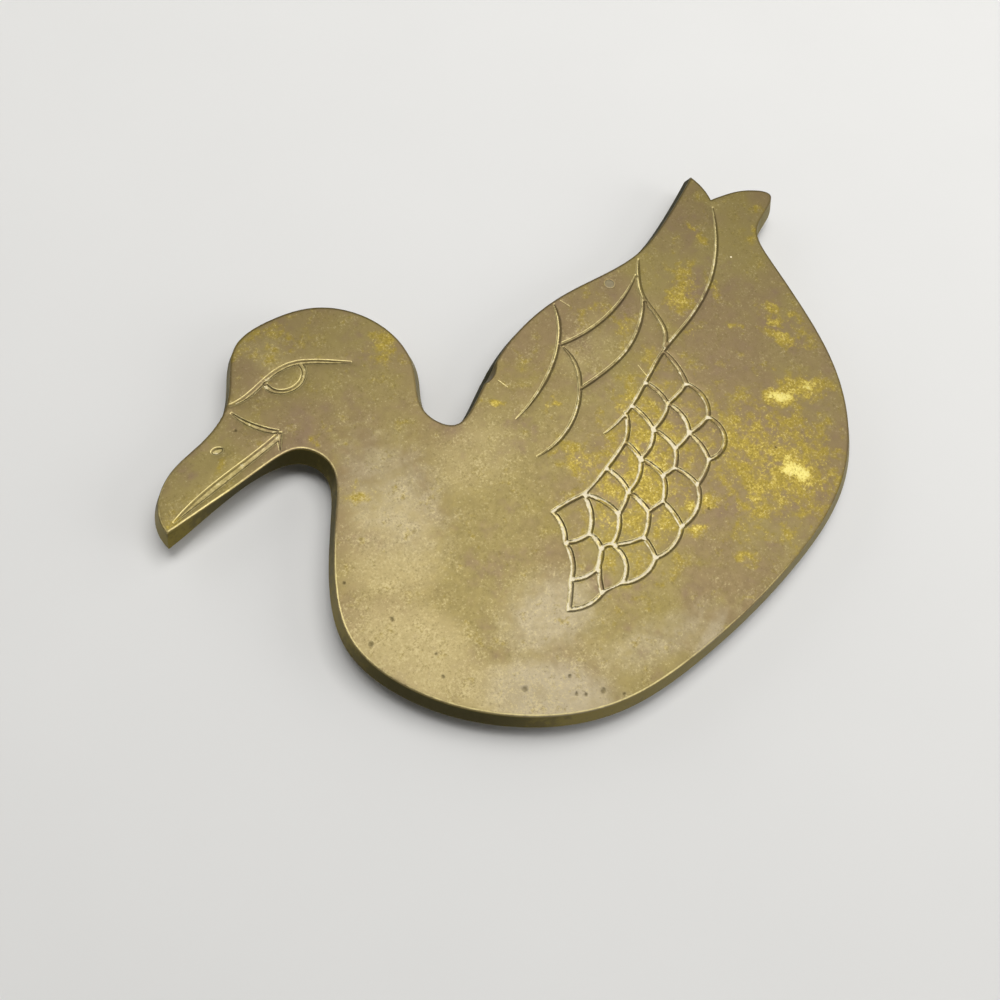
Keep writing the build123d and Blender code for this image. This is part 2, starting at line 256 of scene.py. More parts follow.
def level_loops(node, height, facing):
    """The loops round a node's level faces at a height, each with the metal to its left from above."""
    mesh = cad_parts[node].data
    places = [tuple(round(along / MM, 4) for along in vertex.co) for vertex in mesh.vertices]
    edges = set()
    for polygon in mesh.polygons:
        corners = [places[number] for number in polygon.vertices]
        at_height = all(abs(corner[2] - height) < LEVEL for corner in corners)
        if at_height and polygon.normal.z * facing > LEVEL_NORMAL:
            for start, end in zip(corners, corners[1:] + corners[:1]):
                if (end, start) in edges:
                    edges.remove((end, start))
                else:
                    edges.add((start, end))
    following = dict(sorted(edges))
    loops = []
    while following:
        start = min(following)
        loop = [start]
        while following[loop[-1]] != start:
            loop.append(following.pop(loop[-1]))
        following.pop(loop[-1])
        loops.append(np.array([complex(x, y) for x, y, _ in loop[::facing]]))
    return loops


def loop_length(loop):
    return abs(np.roll(loop, -1) - loop).sum()


def redrawn(loop, step):
    """A loop redrawn in even steps, curved through its places but still sharp where it turns sharply.

    Gives the places, and the numbers of those at sharp corners.
    """
    before = loop - np.roll(loop, 1)
    after = np.roll(before, -1)
    sharp = abs(np.angle(after / before)) > SHARP_TURN
    slope = (before / abs(before) ** 2 + after / abs(after) ** 2) / (1 / abs(before) + 1 / abs(after))
    leaving = np.where(sharp, after / abs(after), slope)
    arriving = np.roll(np.where(sharp, before / abs(before), slope), -1)
    curve = []
    corner_numbers = []
    for number, start in enumerate(loop):
        if sharp[number]:
            corner_numbers.append(len(curve))
        length = abs(after[number])
        t = np.arange(0, 1, min(step / CURVE_FINENESS / length, 1))
        curve.extend(
            start
            + after[number] * (3 * t**2 - 2 * t**3)
            + leaving[number] * length * (t - 2 * t**2 + t**3)
            + arriving[number] * length * (t**3 - t**2)
        )
    first = corner_numbers[0] if corner_numbers else 0
    curve = np.roll(curve, -first)
    bounds = [number - first for number in corner_numbers] or [0]
    places = []
    corners = []
    for start, end in zip(bounds, bounds[1:] + [len(curve)]):
        piece = np.append(curve, curve[0])[start : end + 1]
        gone = np.append(0, np.cumsum(abs(np.diff(piece))))
        count = max(1, round(gone[-1] / step))
        corners.append(len(places))
        places.extend(np.interp(np.arange(count) * gone[-1] / count, gone, piece))
    return np.array(places), corners


def directions(places):
    """The way a closed loop runs at each of its places."""
    way = np.roll(places, -1) - np.roll(places, 1)
    return way / abs(way)


class Edge:
    """Loops that distances are measured from, with the metal to the left of the way that they run."""

    def __init__(self, loops, step):
        drawn = [redrawn(loop, step)[0] for loop in loops]
        self.step = step
        self.places = np.concatenate(drawn)
        self.ways = np.concatenate([directions(part) for part in drawn])
        self.loop_numbers = np.repeat(np.arange(len(drawn)), [len(part) for part in drawn])
        self.tree = kdtree.KDTree(len(self.places))
        for number, place in enumerate(self.places):
            self.tree.insert((place.real, place.imag, 0), number)
        self.tree.balance()

    def nearest(self, points):
        """The number of the loops' place that is nearest to each point."""
        return np.array([self.tree.find((point.real, point.imag, 0))[1] for point in points])

    def distance(self, points, numbers):
        """How far points lie from the loops' places of those numbers, positive on the side of the metal."""
        offset = (points - self.places[numbers]) / self.ways[numbers]
        past = np.maximum(abs(offset.real) - self.step / 2, 0)
        return np.where(offset.imag < 0, -1, 1) * np.hypot(offset.imag, past)

    def from_nearest(self, points):
        return self.distance(points, self.nearest(points))


def lattice(loop, pitch):
    """Places over a loop's box, in rows of equal triangles."""
    row_height = pitch * math.sqrt(3) / 2
    rows = np.arange(math.floor(loop.imag.min() / row_height), math.ceil(loop.imag.max() / row_height) + 1)
    columns = np.arange(math.floor(loop.real.min() / pitch) - 1, math.ceil(loop.real.max() / pitch) + 1)
    return (columns * pitch + (rows * row_height * 1j + rows % 2 * pitch / 2)[:, None]).ravel()


def divided(places, pitch, finer):
    """Each place of a lattice with the closer ones that fill its share of the plane."""
    steps = np.arange(finer) * pitch / finer
    return (places[:, None, None] + steps[:, None] + steps * np.exp(1j * math.pi / 3)).ravel()


def from_segment(points, start, end):
    """How far places lie from a straight segment."""
    way = end - start
    share = np.clip(((points - start) / way).real, 0, 1)
    return abs(points - start - share * way)


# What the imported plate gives: its outline, its engraved edges and the places of its feet
face_loops = sorted(level_loops("duck_plate", FACE, 1), key=loop_length)
foot_places = [complex(*((low + high) / 2 / MM)[:2]) for low, high in (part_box(foot) for foot in FEET)]
outline_loop = max(face_loops, key=lambda loop: np.ptp(loop.real))
engraved_loops = [
    loop
    for loop in face_loops
    if loop is not outline_loop
    and loop_length(loop) > SHORTEST_ENGRAVED_LOOP
    and min(abs(loop.mean() - place) for place in foot_places) > PEENED_RADIUS
]
underside_loop = max(level_loops("duck_plate", UNDERSIDE, -1), key=loop_length)
outline, outline_corners = redrawn(outline_loop, RIM_STEP)
from_outline = Edge([outline_loop], EDGE_STEP).from_nearest
engraving = Edge(engraved_loops, EDGE_STEP)
on_head = engraving.places.real < HEAD_END
towards_broad_side = (engraving.ways * 1j * np.conj(BROAD_SIDE)).real  # from -1 on a line's other side to 1


def face_detail(points):
    """How near each place is to small detail that needs a close mesh, negative inside it."""
    near = engraving.from_nearest(points) - SHOULDER - STROKE_SPREAD
    for middle, diameter in PITS:
        near = np.minimum(near, abs(points - middle) - diameter / 2)
    for start, end, _ in SCRATCHES:
        near = np.minimum(near, from_segment(points, start, end) - SCRATCH_WIDTH)
    for middle, radius in POLISH_SPECKS:
        near = np.minimum(near, abs(points - middle) - radius)
    near = np.minimum(near, abs(points - foot_places[0]) - PEENED_RADIUS - PEENED_RING)
    return np.minimum(near, abs(abs(points - GATE_WHEEL_PLACE) - GATE_WHEEL_RADIUS))


def face_points():
    """Where the face has points: open ground, the engraving and other detail, and rows along its edge."""
    open_ground = lattice(outline, OPEN_PITCH)
    open_ground = open_ground[from_outline(open_ground) > -OPEN_PITCH]
    close = face_detail(open_ground) < OPEN_PITCH
    points = np.concatenate([open_ground[~close], divided(open_ground[close], OPEN_PITCH, FINER)])
    points = points[from_outline(points) > RIM_ROWS[-1] + RIM_STEP / 4]
    inward = directions(outline) * 1j
    for inset in RIM_ROWS:
        row = outline + inward * inset
        points = np.append(points, row[from_outline(row) > RIM_ROW_CLEAR * inset])
    return points


def engraved_share(points, nearest, line):
    """How far down an engraved line's side each place lies, from 0 at the shoulder to 1 on its floor.

    Gives also how near each place is to where lines meet, from 0 to 1: three loops come close there.
    """
    lean = np.where(on_head, -towards_broad_side, towards_broad_side)
    stray = STROKE_WOBBLE * unevenness(engraving.places, "line_edge")
    shoulder = SHOULDER + STROKE_SPREAD * engraving.ways.imag**2 + stray
    flank = FLANK * (1 + FLANK_LEAN * lean) * (1 - CROSS_STEEPNESS * engraving.ways.imag**2)
    reach = shoulder + flank
    share = (shoulder[nearest] - line) / reach[nearest]
    third_gap = np.full(len(points), MEETING_END)
    for number in np.flatnonzero(line < 0):
        point = points[number]
        around = engraving.tree.find_range((point.real, point.imag, 0), MEETING_END)
        near = np.array([index for _, index, _ in around])
        if len(near):
            share[number] = ((shoulder[near] + abs(engraving.distance(point, near))) / reach[near]).min()
            gaps = np.array([gap for _, _, gap in around])
            loops_near = engraving.loop_numbers[near]
            loop_gaps = sorted(gaps[loops_near == loop].min() for loop in set(loops_near))
            if len(loop_gaps) > 2:
                third_gap[number] = loop_gaps[2]
    return soft_share(share, 0, 1), 1 - soft_share(third_gap, MEETING_START, MEETING_END)


def line_finish(points, nearest, line, sunk, meeting):
    """How bright the engraving is at each place with painted highlights, how darkened by painted shade, and
    how full of dried polish.
    """
    meeting = meeting * soft_share(unevenness(points, "meeting"), *FILLED_MEETINGS)
    on_scales = in_patches(points, [WING_SCALES])
    across_scales = (engraving.ways.imag**2)[nearest] * on_scales
    # Painted highlight on the side of a line turned away from the belly, towards the light, and painted shade
    # on its broad side towards the belly; on the head both sides are bright
    bright_side = np.where(on_head, HEAD_BRIGHT, soft_share(-towards_broad_side, *BRIGHT_TURN))[nearest]
    shaded_side = np.where(on_head[nearest], 0, 1 - bright_side)
    shaded_side *= (1 - CROSS_LINES_LESS_SHADED * across_scales) * (1 - SCALES_LESS_SHADED * on_scales)
    # Bright rim just outside a line's edge: burnish with a painted highlight, weakened on the shaded side
    rim = soft_band(line, RIM_PLACE, RIM_WIDTH) * (1 - SHADED_RIM_LESS_BRIGHT * shaded_side)
    # A darker floor in the lines along the wing, off the scales
    along_wing = np.where(on_head, 0, soft_share(abs(towards_broad_side), *ALONG_WING))[nearest]
    dark_floor = soft_share(-line, *DARK_FLOOR) * along_wing * (1 - on_scales)
    bright_side = bright_side * (1 - dark_floor)
    shaded_side = np.maximum(shaded_side, dark_floor)
    bare_stretch = soft_share(unevenness(points, "bare_stretch"), *BARE_STRETCHES)
    bare_floor = soft_share(-line, *BARE_FLOOR) * on_scales * bare_stretch * (1 - meeting)
    # A painted shadow line along the belly side of each scale line, just inside its edge
    belly_side = soft_share(towards_broad_side, *BELLY_TURN)[nearest]
    painted_shadow_line = soft_band(line, SHADOW_LINE_PLACE, SHADOW_LINE_WIDTH) * on_scales * belly_side

    bright = bright_side * sunk * (1 - SCALES_LESS_BRIGHT * on_scales)
    bright *= 1 - BARE_FLOOR_LESS_BRIGHT * bare_floor
    # Painted shade on the shaded sides and in the shadow lines, with the darker floor along the wing
    darkened = np.maximum(SHADE_IN_LINES * shaded_side * sunk, SHADE_IN_SHADOW_LINES * painted_shadow_line)
    # More dried polish on a line's lit side, partly a painted highlight
    filling = POLISH_IN_LINES + POLISH_AND_HIGHLIGHT_ON_BRIGHT_SIDE * bright_side + POLISH_ON_SCALES * on_scales
    filling = np.maximum(filling, POLISH_IN_CROSS_LINES * across_scales)
    polish_and_highlight = sunk**0.5 * filling * (1 - BARE_FLOOR_LESS_POLISH * bare_floor)
    polish_and_highlight += POLISH_IN_MEETINGS * sunk * meeting
    polish_and_highlight *= in_patches(points, CHALKY_PATCHES) * (1 - SHADOW_LINE_LESS_POLISH * painted_shadow_line)
    return np.maximum(rim, bright), darkened, polish_and_highlight


def face_relief(points):
    """The height of the face at each place, and the shares that its finish is mixed by."""
    edge = np.maximum(from_outline(points), 0)
    nearest = engraving.nearest(points)
    line = engraving.distance(points, nearest)
    sunk, meeting = engraved_share(points, nearest, line)
    crown = np.exp(-np.maximum(line, 0) / SCALE_CROWN_REACH) * SCALE_CROWN
    height = FACE - FACE_WAVE * (1 - unevenness(points, "face_wave")) / 2
    height -= np.maximum(ENGRAVING_DEPTH * sunk, crown)
    height -= BEVEL_DROP * np.maximum(1 - edge / BEVEL_WIDTH, 0) ** 2
    pitted = np.zeros(len(points))
    pit_edge = unevenness(points, "pit_edge")
    for middle, diameter in PITS:
        reach = abs(points - middle) / diameter + PIT_RAGGEDNESS * pit_edge
        pitted = np.maximum(pitted, 1 - soft_share(reach, PIT_FLOOR, PIT_SIDE))
    height -= PIT_DEPTH * pitted
    scratched = np.zeros(len(points))
    for start, end, depth in SCRATCHES:
        away = from_segment(points, start, end)
        scratched = np.maximum(scratched, depth * (1 - soft_share(away, 0, SCRATCH_WIDTH)))
    height -= SCRATCH_DEPTH * scratched
    from_peened = abs(points - foot_places[0])
    height -= PEENED_DEPTH * (1 - soft_share(abs(from_peened - PEENED_RADIUS), 0, PEENED_RING))
    ground_off = GATE_WHEEL_RADIUS - abs(points - GATE_WHEEL_PLACE)
    height = np.minimum(height, FACE - GATE_SLOPE * np.maximum(ground_off, 0))

    bright, darkened, polish_and_highlight = line_finish(points, nearest, line, sunk, meeting)
    # The edges of beak, breast, belly and rump get burnish with a painted highlight, the plate's other edges
    # a painted shade
    worn_and_highlit = in_patches(points, WORN_AND_HIGHLIT_EDGES)
    plate_edge = soft_band(edge, PLATE_EDGE_PLACE, PLATE_EDGE_WIDTH)
    peened_ring = soft_band(from_peened, PEENED_RADIUS, PEENED_RING)
    for other in (worn_and_highlit * plate_edge, SCRATCH_BRIGHT * scratched, PEENED_BRIGHT * peened_ring):
        bright = np.maximum(bright, other)
    darkened = np.maximum(darkened, SHADE_ON_PLATE_EDGE * (1 - np.minimum(worn_and_highlit, 1)) * plate_edge)
    for middle, radius in POLISH_SPECKS:
        speck = 1 - soft_share(abs(points - middle), radius / 2, radius)
        polish_and_highlight = np.maximum(polish_and_highlight, POLISH_IN_SPECKS * speck)
    strayed = points + RUBBED_STRAY * (
        unevenness(points, "rubbed_stray") + 1j * unevenness(points, "rubbed_stray_across")
    )
    strayed += RUBBED_STRAY / 2 * (
        unevenness(points, "rubbed_fray") + 1j * unevenness(points, "rubbed_fray_across")
    )
    shares = {
        "chalked_and_highlit": polish_and_highlight,
        # Burnish together with the painted highlights of lines, rims and edges, and the bright scratches and
        # peened ring
        "burnish_and_highlight": np.clip(bright, 0, 1),
        "rubbed": in_patches(strayed, RUBBED_PATCHES, RUBBED_CORE, RUBBED_END),
        "golden": in_patches(points, GOLDEN_PATCHES),
        "pale": in_patches(points, PALE_AND_GLARE_PATCHES),
        # Pits and the gate's rim, and in the same share the painted shade of the lines and the plate's edge
        "pitted": np.maximum(np.maximum(pitted, soft_share(ground_off, 0, GATE_RIM)), darkened),
        "peened": 1 - soft_share(from_peened, PEENED_RADIUS - PEENED_RING, PEENED_RADIUS),
        "as_cast": np.zeros(len(points)),
    }
    return height, shares


def filled(rim, inner):
    """Triangles over the inside of a rim through inner places: places, triangles and the rim's numbers."""
    places = [Vector((place.real, place.imag)) for place in np.append(rim, inner)]
    spots, _, triangles, sources = delaunay_2d_cdt(places, [], [list(range(len(rim)))], 1, SAME_PLACE)[:4]
    number_of = {source: number for number, group in enumerate(sources) for source in group}
    spots = np.array([complex(*spot) for spot in spots])
    return spots, np.array(triangles), np.array([number_of[number] for number in range(len(rim))])


def wall_foot(rim, corners):
    """The place on the underside's outline below each place of the face's outline, corner under corner."""
    below, below_corners = redrawn(underside_loop, EDGE_STEP)
    lower_corners = [
        min(below_corners, key=lambda number: abs(below[number] - rim[corner])) for corner in corners
    ]
    below = np.roll(below, -lower_corners[0])
    starts = [(number - lower_corners[0]) % len(below) for number in lower_corners]
    feet = []
    for start, end, low, high in zip(
        corners, corners[1:] + [len(rim)], starts, starts[1:] + [len(below)], strict=True
    ):
        piece = np.append(below, below[0])[low : high + 1]
        tops = rim[start:end]
        gap = abs(tops[:, None] - piece)
        along = np.maximum.accumulate(np.append(gap.argmin(1), len(piece) - 1))
        along[0] = 0
        padded = np.pad(along, WALL_SMOOTHING // 2, mode="edge")
        smooth = np.convolve(padded, np.ones(WALL_SMOOTHING) / WALL_SMOOTHING, "valid")
        smooth[0] = 0
        feet.extend(np.interp(smooth[:-1], np.arange(len(piece)), piece))
    return np.array(feet)


def mesh_object(name, vertices, faces, shares=None, sharp_fold=SHARP_FOLD):
    """A smooth-shaded object from places in millimetres, with shares for its finish at each of them."""
    mesh = bpy.data.meshes.new(name)
    mesh.from_pydata(np.asarray(vertices) * MM, [], faces)
    for share_name, values in (shares or {}).items():
        attribute = mesh.attributes.new(share_name, "FLOAT", "POINT")
        attribute.data.foreach_set("value", np.asarray(values, np.float32))
    mesh.shade_smooth()
    mesh.set_sharp_from_angle(angle=math.radians(sharp_fold))
    piece = bpy.data.objects.new(name, mesh)
    bpy.context.scene.collection.objects.link(piece)
    return piece


def cast_plate():
    """The whole plate as one closed mesh: its face, its wall and its underside."""
    spots, face_triangles, rim_numbers = filled(outline, face_points())
    height, shares = face_relief(spots)
    vertices = [np.column_stack([spots.real, spots.imag, height])]
    faces = face_triangles.tolist()
    feet = wall_foot(outline, outline_corners)
    rim_height = height[rim_numbers]
    # Walls turned to the back are darker, and the walls under the chin and the breast darker still as painted
    # shade
    facing_back = soft_share((directions(outline) * -1j).imag, *BACK_WALL)
    darker_wall = 1 + np.maximum(facing_back, in_patches(outline, SHADED_WALL_PATCHES))
    upper = rim_numbers
    total = len(spots)
    values = {name: [value] for name, value in shares.items()}
    wall_shares = (np.arange(1, WALL_ROWS) / WALL_ROWS) ** WALL_CROWDING
    for share in [*wall_shares, WALL_LOWEST_ROW, 1.0]:
        places = outline + (feet - outline) * share
        level = rim_height + (UNDERSIDE - rim_height) * share
        vertices.append(np.column_stack([places.real, places.imag, level]))
        for name, value in shares.items():
            values[name].append(value[rim_numbers] * max(0, 1 - share / WALL_TOP))
        values["as_cast"][-1] = np.where(share < 1, darker_wall, 1) * min(1, share / WALL_TOP)
        lower = np.arange(total, total + len(places))
        total += len(places)
        faces.extend(np.column_stack([upper, lower, np.roll(lower, -1), np.roll(upper, -1)]).tolist())
        upper = lower

    ground = lattice(feet, UNDERSIDE_PITCH)
    from_below_edge = Edge([underside_loop], EDGE_STEP).from_nearest
    ground = ground[from_below_edge(ground) > UNDERSIDE_PITCH / 2]
    spots, triangles, edge_numbers = filled(feet, ground)
    number_of = np.arange(len(spots)) + total
    number_of[edge_numbers] = upper
    inner = np.setdiff1d(np.arange(len(spots)), edge_numbers)
    number_of[inner] = np.arange(len(inner)) + total
    clear = np.min([abs(spots[inner] - place) for place in foot_places], axis=0)
    rough = unevenness(spots[inner], "underside_grain") + unevenness(spots[inner], "underside_swell")
    rough = rough / 4 + 0.5  # from 0 to 1
    level = UNDERSIDE + UNDERSIDE_ROUGHNESS * rough * soft_share(clear, FOOT_CLEARING, 2 * FOOT_CLEARING)
    vertices.append(np.column_stack([spots[inner].real, spots[inner].imag, level]))
    for name in shares:
        values[name].append(np.full(len(inner), 1.0 if name == "as_cast" else 0.0))
    faces.extend(number_of[triangles[:, ::-1]].tolist())
    places = np.clip(np.concatenate(vertices), plate_low, plate_high)
    values = {name: np.concatenate(rows) for name, rows in values.items()}
    return mesh_object("duck_plate_cast", places, faces, values)


# Turned feet
FOOT_SEGMENTS = 64
FOOT_TAPER = 0.825  # radius of the base, as a share of the shoulder's
FOOT_BASE_FLAT = 0.4  # share of the base that has its own ring of points
FOOT_BASE_ROUND = 0.7
FOOT_BASE_STEPS = 7
FOOT_SHOULDER_ROUND = 0.35
# The shoulder's rounding: how far each of its places lies inside the shoulder and below the plate
FOOT_SHOULDER_ROUNDING = [(0.06, FOOT_SHOULDER_ROUND), (0.2, 0.08), (FOOT_SHOULDER_ROUND, 0.0)]
FOOT_SHARP_FOLD = 40
TENON_RADIUS = 1.0
TENON_END = 9.2
TOOL_MARK_PITCH = 0.45
TOOL_MARK_DEPTH = 0.025
TOOL_MARK_STEPS = 4


def turned_foot(foot, place):
    """A foot turned on a lathe: rounded base, fine tool marks up its taper, and a tenon into the plate."""
    low, high = (np.array(corner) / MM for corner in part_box(foot))
    shoulder_radius = (high[0] - low[0]) / 2
    base_radius = shoulder_radius * FOOT_TAPER
    profile = [(0.0, low[2]), (base_radius * FOOT_BASE_FLAT, low[2])]
    for angle in np.linspace(-90, 0, FOOT_BASE_STEPS):
        turn = math.radians(angle)
        profile.append((
            base_radius - FOOT_BASE_ROUND + FOOT_BASE_ROUND * math.cos(turn),
            low[2] + FOOT_BASE_ROUND + FOOT_BASE_ROUND * math.sin(turn),
        ))
    taper_end = UNDERSIDE - FOOT_SHOULDER_ROUND
    for level in np.arange(low[2] + FOOT_BASE_ROUND, taper_end, TOOL_MARK_PITCH / TOOL_MARK_STEPS)[1:]:
        share = (level - low[2]) / (UNDERSIDE - low[2])
        mark = TOOL_MARK_DEPTH * (1 - math.cos(2 * math.pi * level / TOOL_MARK_PITCH)) / 2
        profile.append((base_radius + (shoulder_radius - base_radius) * share - mark, level))
    profile.extend((shoulder_radius - inside, UNDERSIDE - below) for inside, below in FOOT_SHOULDER_ROUNDING)
    profile.extend([(TENON_RADIUS, UNDERSIDE), (TENON_RADIUS, TENON_END), (0.0, TENON_END)])
    turns = np.exp(2j * math.pi * np.arange(FOOT_SEGMENTS) / FOOT_SEGMENTS)
    vertices = [(place.real, place.imag, profile[0][1])]
    for radius, level in profile[1:-1]:
        ring = place + radius * turns
        vertices.extend(np.column_stack([ring.real, ring.imag, np.full(FOOT_SEGMENTS, level)]).tolist())
    vertices.append((place.real, place.imag, profile[-1][1]))
    last = len(vertices) - 1
    rings = np.arange(1, last).reshape(-1, FOOT_SEGMENTS)
    faces = [(0, after, before) for before, after in zip(rings[0], np.roll(rings[0], -1))]
    for lower, upper in zip(rings, rings[1:]):
        faces.extend(np.column_stack([lower, np.roll(lower, -1), np.roll(upper, -1), upper]).tolist())
    faces.extend((last, before, after) for before, after in zip(rings[-1], np.roll(rings[-1], -1)))
    return mesh_object(f"{foot}_turned", vertices, faces, sharp_fold=FOOT_SHARP_FOLD)


def linear(hex_colour):
    """A colour given as sRGB hex, as the linear values that a shader takes."""
    channels = [int(hex_colour[start : start + 2], 16) / 255 for start in (1, 3, 5)]
    return [c / 12.92 if c <= 0.04045 else ((c + 0.055) / 1.055) ** 2.4 for c in channels] + [1.0]


def add_node(tree, kind, inputs=None, **settings):
    """Add a shader node with its settings. An input takes a value, or another node's output to link to."""
    made = tree.nodes.new(kind)
    for name, value in settings.items():
        setattr(made, name, value)
    for socket, value in (inputs or {}).items():
        if isinstance(value, bpy.types.NodeSocket):
            tree.links.new(value, made.inputs[socket])
        else:
            made.inputs[socket].default_value = value
    return made


def new_material(name):
    """An empty node material and its tree."""
    material = bpy.data.materials.new(name)
    material.use_nodes = True
    material.node_tree.nodes.clear()
    return material, material.node_tree


# Tarnish on the plate: the size of its clouds in millimetres, and the detail and roughness of their edges
TARNISH = {
    "clouds": (34, 4, 0.55), "blotches": (13, 5, 0.6), "patches": (5, 4, 0.6), "flecks": (1.9, 4, 0.7),
    "speckle": (0.6, 2, 0.7),
}
PLATE_SHARES = ["chalked_and_highlit", "burnish_and_highlight", "rubbed", "golden", "pale", "pitted", "peened", "as_cast"]
BRASS_GROUND = "#7d7047"
# Layers over that ground: what each grows with, where it starts and is full, its strength and its colour
BRASS_LAYERS = {
    "brown": ({"clouds": 1}, 0.38, 0.62, 1.0, "#776749"),
    "olive": ({"blotches": 1, "patches": 0.5}, 0.75, 1.03, 0.75, "#7c6f3c"),
    "purplish_brown": ({"blotches": -1, "patches": -0.5}, -0.73, -0.48, 0.75, "#74624e"),
    "handled_gold": ({"golden": 1, "blotches": 1, "flecks": 0.6}, 0.9, 1.7, 1.0, "#94865e"),
    # Paler patches on breast and belly, partly a painted glare
    "pale": ({"pale": 1, "patches": 1.2}, 0.6, 1.5, 0.9, "#92876f"),
    "soft_mottle": ({"golden": 1, "pale": 0.2, "flecks": -2, "patches": -0.8}, -0.65, -0.1, 0.55, "#7c7052"),
    "yellow_veil": ({"rubbed": 1, "patches": 2.4, "flecks": 1.3}, 2.0, 2.7, 0.9, "#8b7931"),
    "rubbed_grains": ({"rubbed": 1, "flecks": 1.5, "speckle": 1.7}, 2.1, 2.75, 1.0, "#a39146"),
    "bare_metal": ({"rubbed": 1, "flecks": 0.8, "speckle": 0.9}, 1.6, 2.2, 0.95, "#bcb26a"),
    "light_specks": (
        {"speckle": 1, "patches": 0.4, "golden": 0.12, "as_cast": -1}, 0.775, 0.975, 0.6, "#a4976f",
    ),
    "dark_specks": (
        {"speckle": -1, "patches": 0.4, "pale": -0.05, "as_cast": -1}, -0.26, -0.06, 0.5, "#5f5333",
    ),
    # Burnish and the painted highlights of lines and edges
    "burnished_and_highlit_edges": ({"burnish_and_highlight": 1, "flecks": 0.8}, 0.8, 1.5, 0.85, "#d3c48a"),
    "peened_brass": ({"peened": 1}, 0.0, 1.0, 0.5, "#7f7b66"),
    "casting_skin": ({"as_cast": 1}, 0.0, 1.0, 1.0, "#7d7038"),
    "brassy_skin": ({"as_cast": 1, "flecks": 1.5, "blotches": 1}, 2.3, 2.8, 0.4, "#8a7c3e"),
    "stained_skin": ({"as_cast": 1, "flecks": -1.5, "patches": -1}, -0.2, 0.2, 0.6, "#514a28"),
    # The darker walls: darker towards the back, and painted shade under the chin and the breast
    "darker_wall_and_shade": ({"as_cast": 1}, 1.0, 2.0, 1.0, "#3d3a25"),
    # Pits, and the painted shade of the lines and the plate's edge in the same colour
    "pits_and_shade": ({"pitted": 1, "speckle": 0.4}, 0.2, 1.3, 0.65, "#50462a"),
    # Dried polish, whiter on the lines' lit sides as a painted highlight
    "thin_chalk": ({"chalked_and_highlit": 2, "flecks": 1.2, "patches": 1.2}, 1.95, 2.5, 0.75, "#cfc08a"),
    "chalk": ({"chalked_and_highlit": 2, "flecks": 3.2, "patches": 1.6}, 3.45, 4.15, 0.95, "#f7eccd"),
}
# What some layers add to the dullness of the metal
LAYER_DULLNESS = {"rubbed_grains": -0.1, "burnished_and_highlit_edges": -0.1, "darker_wall_and_shade": 0.3, "chalk": 0.4}
GRIT_HEIGHT = 0.025
FOOT_TARNISH_SIZE = 2.2
TOOL_RING_SIZE = 0.12
TOOL_RING_HEIGHT = 0.02
TABLE_CLOUD_SIZE = 60.0


def patinated_cast_brass():
    """Cast brass, filed and hand polished, then left to dull.

    The eye gets a soft metal sheen in broken browns and olives, bright yellow where the brown is rubbed off,
    bright lines along the edges, partly burnish and partly painted highlight, chalky dried polish in the
    engraving, whiter on each line's lit side as a painted highlight, and painted shade on the lines' shaded
    sides, along the plate's other edges and on the walls under the chin and the breast.
    """
    material, tree = new_material("patinated_cast_brass")
    place = add_node(tree, "ShaderNodeTexCoord").outputs["Object"]
    found = {
        share: add_node(tree, "ShaderNodeAttribute", attribute_name=share).outputs["Fac"]
        for share in PLATE_SHARES
    }
    for name, (size, detail, roughness) in TARNISH.items():
        found[name] = add_node(tree, "ShaderNodeTexNoise", {
            "Vector": place, "Scale": 1 / (size * MM), "Detail": detail, "Roughness": roughness,
        }).outputs["Fac"]
    colour = linear(BRASS_GROUND)
    layer = {}
    for name, (grows_with, start, full, strength, tone) in BRASS_LAYERS.items():
        amount = 0.0
        for source, weight in grows_with.items():
            amount = add_node(tree, "ShaderNodeMath", {
                0: found[source], 1: weight, 2: amount,
            }, operation="MULTIPLY_ADD").outputs[0]
        layer[name] = add_node(tree, "ShaderNodeMapRange", {
            "Value": amount, "From Min": start, "From Max": full, "To Max": strength,
        }, interpolation_type="SMOOTHSTEP").outputs["Result"]
        colour = add_node(tree, "ShaderNodeMix", {
            "Factor": layer[name], 6: colour, 7: linear(tone),
        }, data_type="RGBA").outputs[2]

    # Rubbed metal is smoother than tarnish, and dried polish is dull and no metal at all
    dullness = add_node(tree, "ShaderNodeMapRange", {"Value": found["flecks"], "To Min": 0.4, "To Max": 0.6})
    dullness = dullness.outputs["Result"]
    for name, change in LAYER_DULLNESS.items():
        dullness = add_node(tree, "ShaderNodeMath", {
            0: layer[name], 1: change, 2: dullness,
        }, operation="MULTIPLY_ADD").outputs[0]
    metal = add_node(tree, "ShaderNodeMapRange", {"Value": layer["chalk"], "To Min": 1.0, "To Max": 0.15})
    grit = add_node(tree, "ShaderNodeMath", {
        0: found["speckle"], 1: 1.5, 2: found["flecks"],
    }, operation="MULTIPLY_ADD")
    bump = add_node(tree, "ShaderNodeBump", {
        "Height": grit.outputs[0], "Strength": 0.3, "Distance": GRIT_HEIGHT * MM,
    })
    shader = add_node(tree, "ShaderNodeBsdfPrincipled", {
        "Base Color": colour, "Metallic": metal.outputs["Result"], "Roughness": dullness,
        "Normal": bump.outputs["Normal"],
    })
    add_node(tree, "ShaderNodeOutputMaterial", {"Surface": shader.outputs["BSDF"]})
    return material


